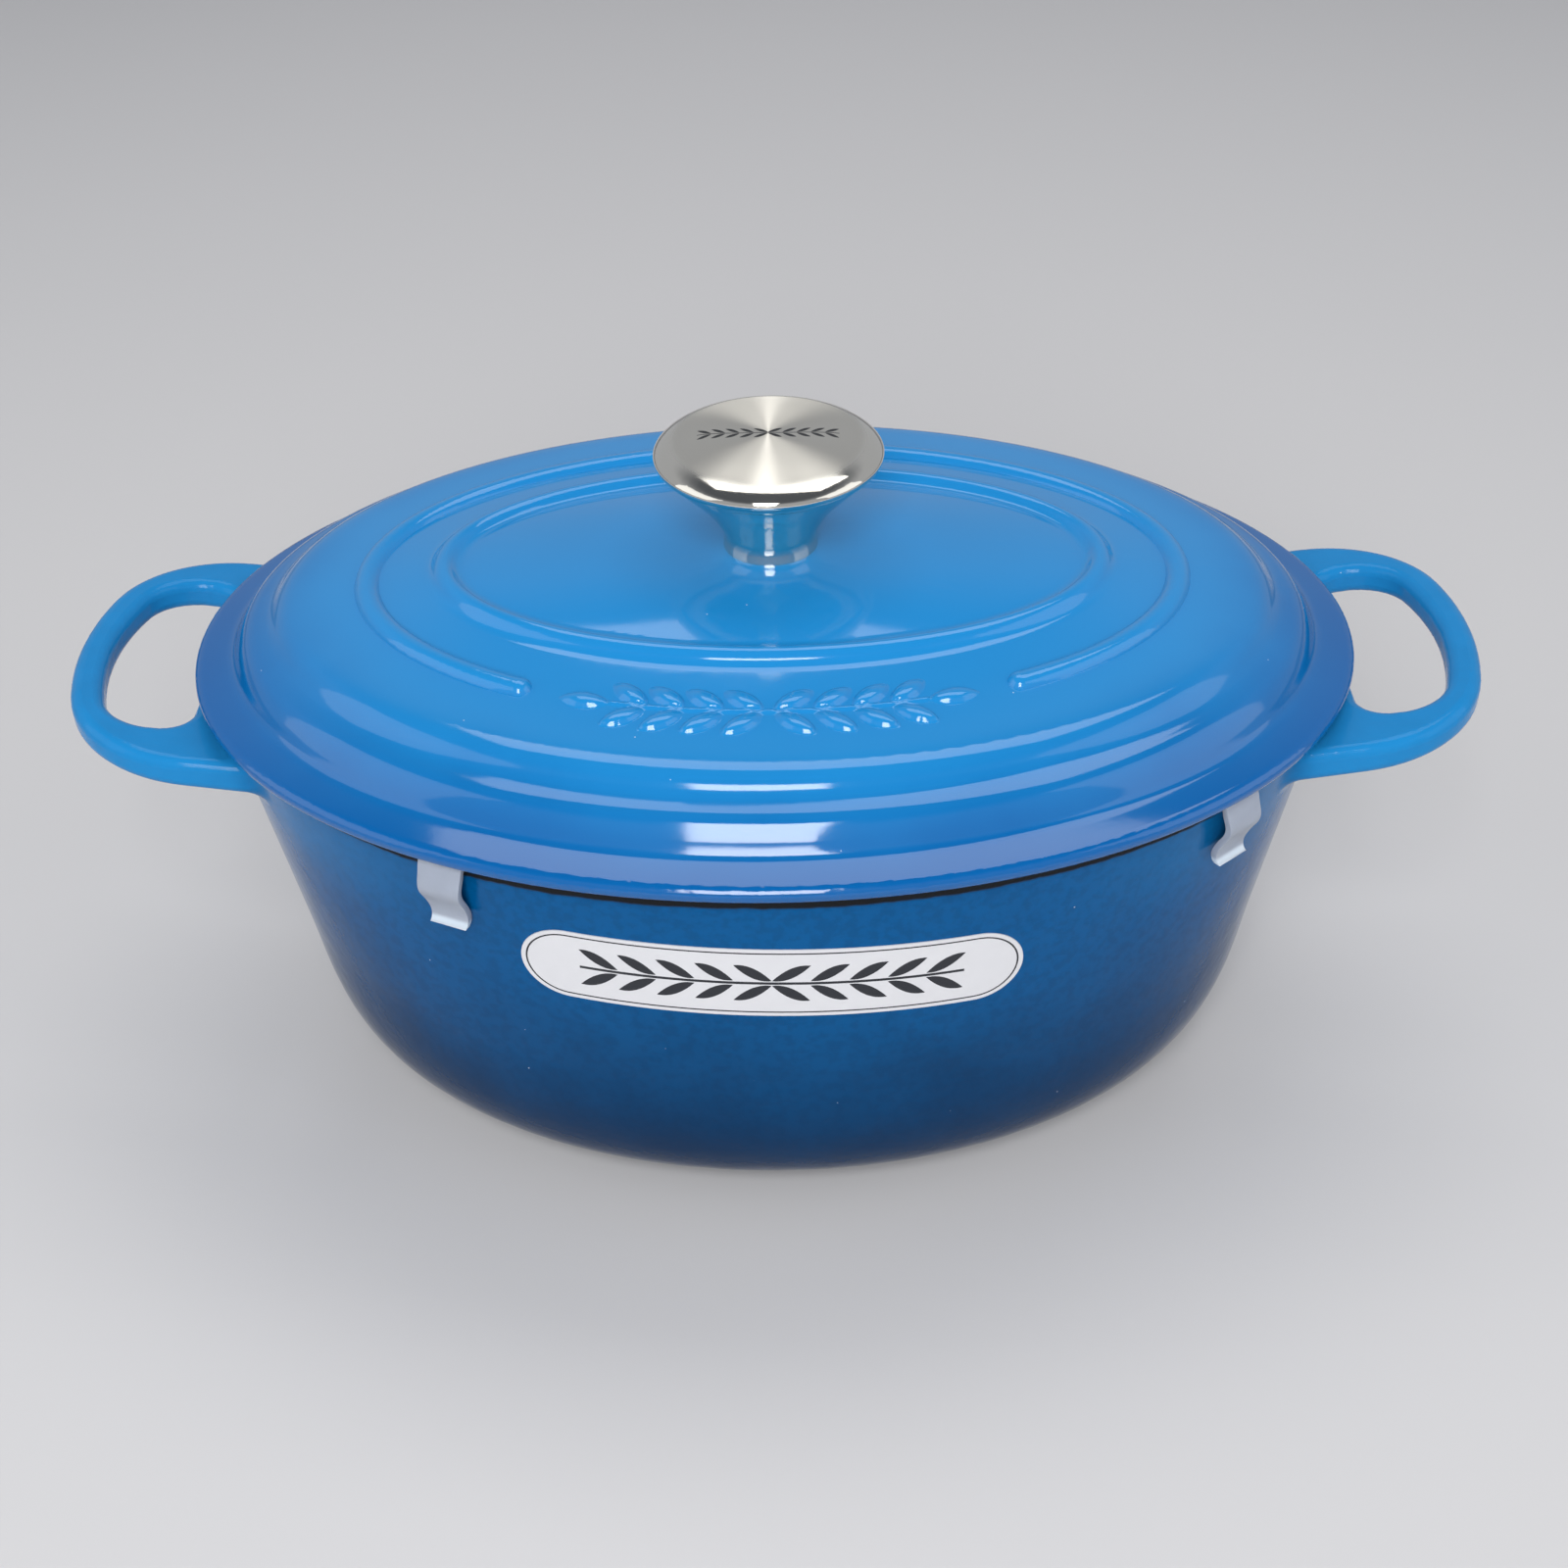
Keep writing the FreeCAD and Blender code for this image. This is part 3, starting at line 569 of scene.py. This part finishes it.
def settle(piece):
    """Puts the place, turn and size of an object into its mesh."""
    only(piece)
    bpy.ops.object.transform_apply(location=True, rotation=True, scale=True)


def copy_of(piece, name):
    made = piece.copy()
    made.data = piece.data.copy()
    made.name = name
    bpy.context.scene.collection.objects.link(made)
    return made


def join(pieces, name):
    only(pieces[0])
    for piece in pieces:
        piece.select_set(True)
    bpy.ops.object.join()
    pieces[0].name = name
    return pieces[0]


def drop(piece):
    bpy.data.objects.remove(piece, do_unlink=True)


# ---- Lid relief ---------------------------------------------------------------------------------------
RINGS = 12  # of one leaf
PATCH_WIDTH, PATCH_DEPTH, PATCH_PITCH = 112 * MM, 25 * MM, 0.35 * MM
PATCH_BACK, PATCH_ABOVE = 2.5 * MM, 5 * MM  # where the flat grid starts: behind the twig, over the lid
SHEET = 0.6 * MM  # thickness of the relief's sheet
SINK = 0.06 * MM  # how far the sheet's plain parts lie under the lid's surface


def leaf_form(settings):
    """One leaf along X: a pod drawn out to two tips."""
    half = settings.leaf_length / 2
    clear_selection()
    bpy.ops.mesh.primitive_uv_sphere_add(segments=24, ring_count=RINGS, radius=half)
    leaf = bpy.context.object
    leaf.name = "leaf_form"
    edit_all(leaf)
    bpy.ops.transform.rotate(value=math.pi / 2, orient_axis="Y", center_override=(0.0, 0.0, 0.0))
    bpy.ops.object.mode_set(mode="OBJECT")
    for ring in range(1, RINGS):
        x = half * math.cos(math.pi * ring / RINGS)
        taper = math.sin(math.pi * ring / RINGS) ** 0.7
        edit_select(leaf, lambda point: abs(point.x - x) < 0.02 * half)
        bpy.ops.transform.resize(value=(1.0, taper, taper), center_override=(x, 0.0, 0.0))
        bpy.ops.object.mode_set(mode="OBJECT")
    width = settings.leaf_width / settings.leaf_length
    height = 2 * settings.leaf_height / settings.leaf_length
    edit_all(leaf)
    bpy.ops.transform.resize(value=(1.0, width, height), center_override=(0.0, 0.0, 0.0))
    bpy.ops.object.mode_set(mode="OBJECT")
    return leaf


def twig_oval(settings):
    """Half sizes of the oval that the twig follows."""
    return LID_HIGH.x - settings.inset, LID_HIGH.y - 0.97 * settings.inset


def on_twig(settings, turn):
    """Place on the twig and the direction along it, at an angle of the oval from the front."""
    a, b = twig_oval(settings)
    place = Vector((a * math.sin(turn), -b * math.cos(turn), 0.0))
    along = Vector((a * math.cos(turn), b * math.sin(turn), 0.0)).normalized()
    return place, along


def twig(settings):
    """Thin bead along the oval, cut to the stretch at the front."""
    a, b = twig_oval(settings)
    z = height_over("lid", 0.0, -b)
    clear_selection()
    bpy.ops.mesh.primitive_torus_add(
        major_radius=a, minor_radius=settings.stem_radius, major_segments=240, minor_segments=12,
        location=(0.0, 0.0, z),
    )
    bead = bpy.context.object
    settle(bead)
    edit_all(bead)
    bpy.ops.transform.resize(value=(1.0, b / a, 1.0), center_override=(0.0, 0.0, z))
    for side in (-1, 1):
        end, along = on_twig(settings, side * settings.half_angle)
        bpy.ops.mesh.select_all(action="SELECT")
        bpy.ops.mesh.bisect(plane_co=end, plane_no=side * along, clear_outer=True, use_fill=True)
    bpy.ops.object.mode_set(mode="OBJECT")
    return bead


class OVEN_OT_relief(bpy.types.Operator):
    """Raised twig with pairs of leaves, cast into the front of the lid"""

    bl_idname = "oven.relief"
    bl_label = "Lid relief"

    def execute(self, context):
        settings = context.scene.oven_relief
        form = leaf_form(settings)
        forms = [twig(settings)]
        step = settings.half_angle / (settings.leaf_pairs + 0.3)
        for side in (-1, 1):
            for pair in range(settings.leaf_pairs + 1):
                place, along = on_twig(settings, side * step * (pair + 0.1))
                last = pair == settings.leaf_pairs
                for lean in (0.0,) if last else (-1.0, 1.0):
                    heading = math.atan2(along.y, along.x) + side * lean * settings.leaf_turn
                    if side < 0:
                        heading += math.pi
                    out = Vector((math.cos(heading), math.sin(heading), 0.0))
                    middle = place + out * settings.leaf_length * 0.52
                    leaf = copy_of(form, "leaf")
                    z = height_over("lid", middle.x, middle.y)
                    turn = Matrix.Rotation(heading, 4, "Z")
                    leaf.matrix_world = Matrix.Translation((middle.x, middle.y, z)) @ turn
                    forms.append(leaf)
        for leaf in forms:
            settle(leaf)
        drop(form)
        shape = join(forms, "relief_forms")
        patch = self.patch(settings)
        apply_modifier(patch, "SHRINKWRAP", target=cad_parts["lid"], wrap_method="PROJECT",
                       use_project_z=True, use_negative_direction=True, use_positive_direction=False)
        apply_modifier(patch, "SHRINKWRAP", target=shape, wrap_method="PROJECT",
                       use_project_z=True, use_negative_direction=False, use_positive_direction=True)
        apply_modifier(patch, "SMOOTH", factor=0.5, iterations=5)
        edit_all(patch)
        bpy.ops.transform.translate(value=(0.0, 0.0, -SINK))
        bpy.ops.object.mode_set(mode="OBJECT")
        apply_modifier(patch, "SOLIDIFY", thickness=SHEET, offset=-1.0)
        bpy.ops.object.shade_smooth()
        drop(shape)
        patch.data.materials.append(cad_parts["lid"].material_slots[0].material)
        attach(patch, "lid")
        return {"FINISHED"}

    def patch(self, settings):
        """Fine flat grid over the smooth band at the front of the lid."""
        place, _ = on_twig(settings, 0.0)
        clear_selection()
        bpy.ops.mesh.primitive_grid_add(
            x_subdivisions=round(PATCH_WIDTH / PATCH_PITCH), y_subdivisions=round(PATCH_DEPTH / PATCH_PITCH),
            size=1.0, location=(0.0, place.y + PATCH_BACK, LID_HIGH.z + PATCH_ABOVE),
        )
        patch = bpy.context.object
        patch.name = "lid_leaf_relief"
        patch.scale = (PATCH_WIDTH, PATCH_DEPTH, 1.0)
        settle(patch)
        return patch


# ---- Finishing operators ------------------------------------------------------------------------------
class OVEN_OT_pot(bpy.types.Operator):
    """Glaze on the pot casting: blue outside, sand inside, matt black on the rim"""

    bl_idname = "oven.pot"
    bl_label = "Pot"

    def execute(self, context):
        wear("pot_body", pot_enamel(context.scene.oven_enamel))
        return {"FINISHED"}


class OVEN_OT_lid(bpy.types.Operator):
    """Glaze on the lid casting: blue on top, sand underneath"""

    bl_idname = "oven.lid"
    bl_label = "Lid"

    def execute(self, context):
        wear("lid", lid_enamel(context.scene.oven_enamel))
        return {"FINISHED"}


class OVEN_OT_knob(bpy.types.Operator):
    """Brushed cap and polished stem"""

    bl_idname = "oven.knob"
    bl_label = "Knob"

    def execute(self, context):
        settings = context.scene.oven_knob
        wear("knob_cap", brushed_steel(settings))
        wear("knob_stem", polished_steel(settings))
        return {"FINISHED"}


class OVEN_OT_fastening(bpy.types.Operator):
    """Plated screw, washer and core"""

    bl_idname = "oven.fastening"
    bl_label = "Knob fastening"

    def execute(self, context):
        material = plated_steel(context.scene.oven_knob)
        for node in ("knob_core", "knob_screw", "screw_washer"):
            wear(node, material)
        return {"FINISHED"}


class OVEN_OT_clips(bpy.types.Operator):
    """Soft plastic clips over the rim"""

    bl_idname = "oven.clips"
    bl_label = "Rim clips"

    def execute(self, context):
        settings = context.scene.oven_clips
        material = clip_plastic(settings)
        for node in sorted(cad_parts):
            if node.startswith("rim_clip"):
                wear(node, material)
                self.rounded(node, settings)
        return {"FINISHED"}

    def rounded(self, node, settings):
        """Copy of a clip with its sharp edges rounded, shown in place of the CAD node."""
        clip = copy_of(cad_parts[node], node + "_rounded")
        settle(clip)
        edit_all(clip)
        bpy.ops.mesh.remove_doubles(threshold=0.01 * MM)
        bpy.ops.mesh.dissolve_limited(angle_limit=math.radians(1.0))
        bpy.ops.object.mode_set(mode="OBJECT")
        apply_modifier(clip, "BEVEL", width=settings.rounding, segments=3, limit_method="ANGLE",
                       angle_limit=math.radians(40.0))
        bpy.ops.object.shade_smooth_by_angle(angle=math.radians(35.0))
        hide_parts(node)
        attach(clip, "pot")


class OVEN_OT_label(bpy.types.Operator):
    """Printed film label on the front"""

    bl_idname = "oven.label"
    bl_label = "Label"

    def execute(self, context):
        wear("front_label", label_film(context.scene.oven_label))
        return {"FINISHED"}


# ---- Stage --------------------------------------------------------------------------------------------
FLOOR_SIZE = 30.0
CEILING_START, CEILING_FULL = 0.55, 0.85  # how steeply up the walls turn into the ceiling
# Name, place, width, height and the setting with the power of each light
LIGHTS = (
    ("window_light", (-0.08, -1.23, 1.02), 0.5, 0.94, "window_power"),
    ("top_light", (0.1, 0.5, 1.5), 1.4, 0.7, "top_power"),
    ("side_light", (-1.4, -0.3, 0.8), 1.2, 1.2, "side_power"),
    ("side_light", (1.4, -0.3, 0.8), 1.2, 1.2, "side_power"),
)


class OVEN_OT_stage(bpy.types.Operator):
    """Pale floor, soft studio light and the camera"""

    bl_idname = "oven.stage"
    bl_label = "Stage"

    def execute(self, context):
        settings = context.scene.oven_stage
        context.scene.view_settings.view_transform = "Standard"
        self.camera(context, settings)
        self.floor(settings)
        self.surroundings(context, settings)
        target = Vector((0.0, 0.0, RIM_HEIGHT))
        for name, place, width, height, watts in LIGHTS:
            self.light(name, place, target, width, height, getattr(settings, watts))
        return {"FINISHED"}

    def camera(self, context, settings):
        pitch, yaw, roll = settings.camera_pitch, settings.camera_yaw, settings.camera_roll
        ahead = Vector((
            math.sin(yaw) * math.cos(pitch), math.cos(yaw) * math.cos(pitch), -math.sin(pitch)
        ))
        level = Vector((math.cos(yaw), -math.sin(yaw), 0.0))
        upright = level.cross(ahead)
        right = math.cos(roll) * level + math.sin(roll) * upright
        up = math.cos(roll) * upright - math.sin(roll) * level
        clear_selection()
        bpy.ops.object.camera_add()
        camera = bpy.context.object
        camera.name = "studio_camera"
        camera.data.lens = settings.lens
        camera.data.sensor_width = 36.0
        turn = Matrix((right, up, -ahead)).transposed().to_4x4()
        camera.matrix_world = Matrix.Translation(settings.camera_place) @ turn
        context.scene.camera = camera

    def floor(self, settings):
        clear_selection()
        bpy.ops.mesh.primitive_plane_add(size=FLOOR_SIZE, location=(0.0, 0.0, 0.0))
        floor = bpy.context.object
        floor.name = "studio_floor"
        finish = Finish("studio_floor_paint")
        cloud = finish.noise(0.4, 2.0)
        tone = finish.mix(cloud, settings.floor, darker(settings.floor, 0.98))
        floor.data.materials.append(finish.finish(Base_Color=tone, Roughness=0.85))

    def surroundings(self, context, settings):
        world = bpy.data.worlds.new("studio_surroundings")
        world.use_nodes = True
        nodes, links = world.node_tree.nodes, world.node_tree.links
        direction = nodes.new("ShaderNodeTexCoord")
        parts = nodes.new("ShaderNodeSeparateXYZ")
        rise = nodes.new("ShaderNodeMapRange")
        rise.interpolation_type = "SMOOTHSTEP"
        rise.inputs["From Min"].default_value = CEILING_START
        rise.inputs["From Max"].default_value = CEILING_FULL
        tone = nodes.new("ShaderNodeMix")
        tone.data_type = "RGBA"
        low, high, result = MIX_SOCKETS["RGBA"]
        tone.inputs[low].default_value = (*settings.walls, 1.0)
        tone.inputs[high].default_value = (*settings.ceiling, 1.0)
        links.new(direction.outputs["Generated"], parts.inputs[0])
        links.new(parts.outputs[2], rise.inputs["Value"])
        links.new(rise.outputs["Result"], tone.inputs[0])
        links.new(tone.outputs[result], nodes["Background"].inputs["Color"])
        context.scene.world = world

    def light(self, name, place, target, width, height, watts):
        clear_selection()
        bpy.ops.object.light_add(type="AREA", location=place)
        light = bpy.context.object
        light.name = name
        light.data.shape = "RECTANGLE"
        light.data.size = width
        light.data.size_y = height
        light.data.energy = watts
        light.rotation_euler = (target - Vector(place)).to_track_quat("-Z", "Y").to_euler()


# ---- Panel and registration ---------------------------------------------------------------------------
SETTINGS = {
    "oven_enamel": EnamelSettings,
    "oven_knob": KnobSettings,
    "oven_relief": ReliefSettings,
    "oven_clips": ClipSettings,
    "oven_label": LabelSettings,
    "oven_stage": StageSettings,
}
STEPS = (OVEN_OT_pot, OVEN_OT_lid, OVEN_OT_relief, OVEN_OT_knob, OVEN_OT_fastening, OVEN_OT_clips,
         OVEN_OT_label, OVEN_OT_stage)


class OVEN_PT_panel(bpy.types.Panel):
    """Sizes, colours and the pieces of the dutch oven"""

    bl_idname = "OVEN_PT_panel"
    bl_label = "Dutch Oven"
    bl_space_type = "VIEW_3D"
    bl_region_type = "UI"
    bl_category = "Dutch Oven"

    def draw(self, context):
        for step in STEPS:
            self.layout.operator(step.bl_idname)
        for name, group in SETTINGS.items():
            box = self.layout.box()
            box.label(text=name.replace("oven_", "").capitalize())
            for field in group.__annotations__:
                box.prop(getattr(context.scene, name), field)


def register():
    for group in SETTINGS.values():
        bpy.utils.register_class(group)
    for step in STEPS:
        bpy.utils.register_class(step)
    bpy.utils.register_class(OVEN_PT_panel)
    for name, group in SETTINGS.items():
        setattr(bpy.types.Scene, name, PointerProperty(type=group))


def unregister():
    for name in SETTINGS:
        delattr(bpy.types.Scene, name)
    bpy.utils.unregister_class(OVEN_PT_panel)
    for step in reversed(STEPS):
        bpy.utils.unregister_class(step)
    for group in SETTINGS.values():
        bpy.utils.unregister_class(group)


def main():
    register()
    bpy.ops.oven.pot()
    bpy.ops.oven.lid()
    bpy.ops.oven.relief()
    bpy.ops.oven.knob()
    bpy.ops.oven.fastening()
    bpy.ops.oven.clips()
    bpy.ops.oven.label()
    bpy.ops.oven.stage()


if __name__ == "__main__":
    main()
